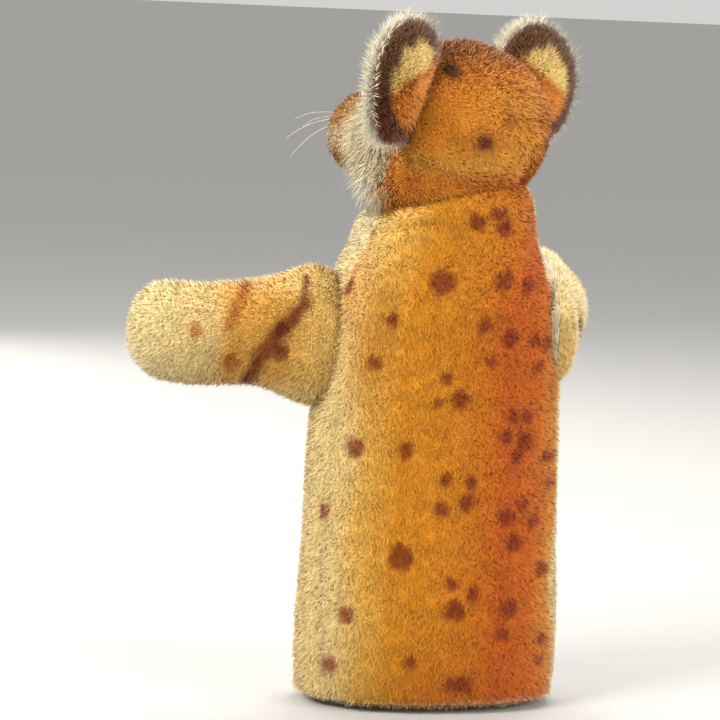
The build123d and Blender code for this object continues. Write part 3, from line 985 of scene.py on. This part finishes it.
def nose_and_mouth():
    nose = FACE @ (NOSE_AT - SKULL_AT)
    half, tall, thread = 4.6, 2.9, 0.27
    stitches = []
    for i, x in enumerate(np.linspace(-half, half, 25)):
        high = tall - 0.8 * (x / half) ** 2
        low = -3.2 * (1 - (abs(x) / 5.2) ** 1.2)
        z = np.linspace(high, low, 9)
        dome = np.sqrt(np.clip(1 - np.linspace(-1, 1, 9) ** 2, 0, 1))
        lift = 0.35 + 1.3 * dome * (1 - 0.5 * (x / half) ** 2)
        stitches.append(on_head([(x, nose[1], nose[2] + h) for h in z], lift + 0.05 * (i % 2)))
    pad = tubes("nose_floss", stitches, [thread] * len(stitches), FLOSS, 8)
    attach(pad, "head")
    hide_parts("nose")
    line = [(0, nose[1], nose[2] - 2.6 - 0.6 * k) for k in range(9)]
    low = line[-1][2]
    mouths = [on_head(line, 0.5)]
    for s in (-1, 1):
        t = np.linspace(0, 1, 15)
        curve = np.stack([s * 8.6 * t, nose[1] - 3.6 * t ** 2, low - 1.6 * np.sin(t * math.pi * 0.9)], axis=1)
        mouths.append(on_head(curve, 0.5))
    mouth = tubes("mouth_floss", mouths, [0.36] * 3, FLOSS, 8)
    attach(mouth, "head")
    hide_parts("mouth_stitches")


# A cheek's whiskers: height of the root, length and how much it points up.
WHISKERS = [(-3.0, 27, 3.0), (-5.0, 30, -3.0), (-7.0, 27, -9.0), (-4.2, 22, 0.5)]


def whiskers():
    for s, side in ((1, "left"), (-1, "right")):
        lines = []
        for k, (up, out, lift) in enumerate(WHISKERS):
            root = (s * (7.5 + 0.8 * (k % 2)), SNOUT_AT[1] + 8 - 1.5 * k, SNOUT_AT[2] + 10 + up)
            start = on_head([root], 0.2)[0]
            t = np.linspace(-0.06, 1, 16)[:, None]
            way = unit(HEAD_X * s + HEAD_F * 0.15 + np.array([0, 0, lift / 30]))
            droop = (np.array([0, 0, -4.5]) - HEAD_F * 4.0) * t ** 2
            lines.append(start + way * out * 0.86 * t + droop)
        taper = np.linspace(0.17, 0.06, 16)
        hairs = tubes(f"{side}_whisker_hairs", lines, [taper] * len(lines), WHISKER, 5)
        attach(hairs, "head")
        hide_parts(f"{side}_whiskers")


# Colours of an eye by angle from the way it looks: pupil, iris, then its dark back.
EYE_RINGS = [(0, (10, 7, 5)), (0.42, (10, 7, 5)), (0.47, (150, 84, 20)), (0.8, (206, 140, 44)),
             (1.02, (96, 48, 14)), (1.1, (14, 9, 7)), (math.pi, (14, 9, 7))]


def eyes():
    for side in ("left", "right"):
        low, high = box_mm(f"{side}_eye_core")
        centre, radius = (low + high) / 2, (high - low).max() / 2
        sign = 1 if side == "left" else -1
        look = unit(HEAD_F + HEAD_X * sign * 0.35 + np.array([0, 0, 0.12]))
        side_way = unit(np.cross(look, (0, 0, 1)))
        up = np.cross(side_way, look)
        rows, columns = 40, 48
        tilt = np.repeat(np.linspace(0, math.pi, rows), columns)
        turn = np.tile(np.arange(columns) * 2 * math.pi / columns, rows)
        way = (np.cos(tilt)[:, None] * look + (np.sin(tilt) * np.cos(turn))[:, None] * side_way
               + (np.sin(tilt) * np.sin(turn))[:, None] * up)
        faces = grid_faces(rows, columns, closed=True)
        ball = mesh_object(f"{side}_eye_ball", centre + way * radius, faces, IRIS)
        spokes = 1 + 0.15 * np.sin(turn * 17)
        paint(ball, ramp(tilt, EYE_RINGS) * spokes[:, None])
        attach(ball, "head")
        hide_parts(f"{side}_eye_core")
        cover(f"{side}_eye_glass", GLASS, "eye_glass")


def whisker_material():
    material, nodes, links, shader = new_material(
        "whisker_nylon", Base_Color=(0.86, 0.82, 0.74, 1), Roughness=0.25, Transmission_Weight=0.35)
    noise_bump(nodes, links, shader, 900, 0.1, 0.0001)
    return material


def glass_material():
    material, nodes, links, shader = new_material(
        "eye_glass", Base_Color=(1, 0.98, 0.94, 1), Roughness=0.03, Transmission_Weight=1, IOR=1.46)
    noise_bump(nodes, links, shader, 60, 0.03, 0.0001)
    return material


def iris_material():
    material, nodes, links, shader = new_material("eye_iris", Roughness=0.3)
    tinted(nodes, links, shader, 900, 0.8, 1.15)
    return material


WHISKER, GLASS, IRIS = whisker_material(), glass_material(), iris_material()


# ---- the pieces that keep their CAD shape ----
def plain_pieces():
    looks = {"left_side_seam": (THREAD, "backing_cloth"), "right_side_seam": (THREAD, "backing_cloth"),
             "hem_stitches": (THREAD, "sewing_thread"), "neck_thread": (THREAD, "sewing_thread"),
             "nape_stitches": (NAPE, "sewing_thread"), "neck_band": (COTTON, "backing_cloth"),
             "finger_tube": (CARD, "cardboard"), "head_filling": (WOOL, "wood_wool"),
             "muzzle_filling": (WOOL, "wood_wool")}
    for name, (material, finish) in looks.items():
        cover(name, material, finish)


# ---- floor, lights and camera ----
VIEW_UP, VIEW_ROLL = math.radians(6), math.radians(2.5)
VIEW_FROM, VIEW_TALL = 1.2, 0.252            # metres to the camera, and the height that it takes in
LOOK_AT = Vector(-27 * ACROSS * MM) + Vector((0, 0, 0.119))
LIT = np.array([0, 0, 0.12])                 # what the lamps point at
REAR = np.array([ACROSS[1], -ACROSS[0], 0])  # the way the photographed side faces
# Each lamp's place from there, size in metres, power in watts and colour.
LAMPS = [("key", -0.75 * ACROSS + 0.75 * REAR + (0, 0, 0.75), 0.5, 18, (1.0, 0.96, 0.90)),
         ("fill", 0.95 * ACROSS + 0.6 * REAR + (0, 0, 0.35), 0.7, 9, (1.0, 0.97, 0.93)),
         ("top", 0.15 * ACROSS - 0.55 * REAR + (0, 0, 0.95), 0.6, 10, (1.0, 0.98, 0.95)),
         ("front", -0.6 * ACROSS - 0.9 * REAR + (0, 0, 0.3), 0.7, 7, (1.0, 0.97, 0.94))]


def add_floor():
    """A floor wide enough to reach the horizon."""
    bpy.ops.mesh.primitive_plane_add(size=160, location=(0, 0, 0))
    floor = bpy.context.object
    floor.name = "floor"
    floor.data.materials.append(new_material("floor", Base_Color=(0.5, 0.495, 0.48, 1), Roughness=0.8)[0])
    return floor


def add_lamp(name, offset, size, power, colour):
    data = bpy.data.lights.new(name, "AREA")
    data.size, data.energy, data.color = size, power, colour
    lamp = put_in_scene(name, data)
    lamp.location = LIT + offset
    lamp.rotation_euler = Vector(-offset).to_track_quat("-Z", "Y").to_euler()
    return lamp


def add_camera():
    data = bpy.data.cameras.new("camera")
    data.sensor_width = 36
    data.lens = data.sensor_width * VIEW_FROM / VIEW_TALL
    data.clip_start, data.clip_end = 0.01, 400
    camera = put_in_scene("camera", data)
    round_to = math.pi - VIEW_TURN
    away = Vector((math.sin(round_to) * math.cos(VIEW_UP), -math.cos(round_to) * math.cos(VIEW_UP),
                   math.sin(VIEW_UP)))
    camera.location = LOOK_AT + away * VIEW_FROM
    camera.rotation_euler = ((-away).to_track_quat("-Z", "Y") @ Quaternion((0, 0, 1), VIEW_ROLL)).to_euler()
    bpy.context.scene.camera = camera


def studio():
    scene = bpy.context.scene
    scene.view_settings.view_transform = "Standard"
    scene.world = scene.world or bpy.data.worlds.new("world")
    scene.world.use_nodes = True
    tune(scene.world.node_tree.nodes["Background"], Color=(0.93, 0.92, 0.90, 1), Strength=0.7)
    add_floor()
    [add_lamp(*lamp) for lamp in LAMPS]
    add_camera()


glove()
hem()
arms()
head_cloth()
head_pile()
ears()
nose_and_mouth()
whiskers()
eyes()
plain_pieces()
studio()
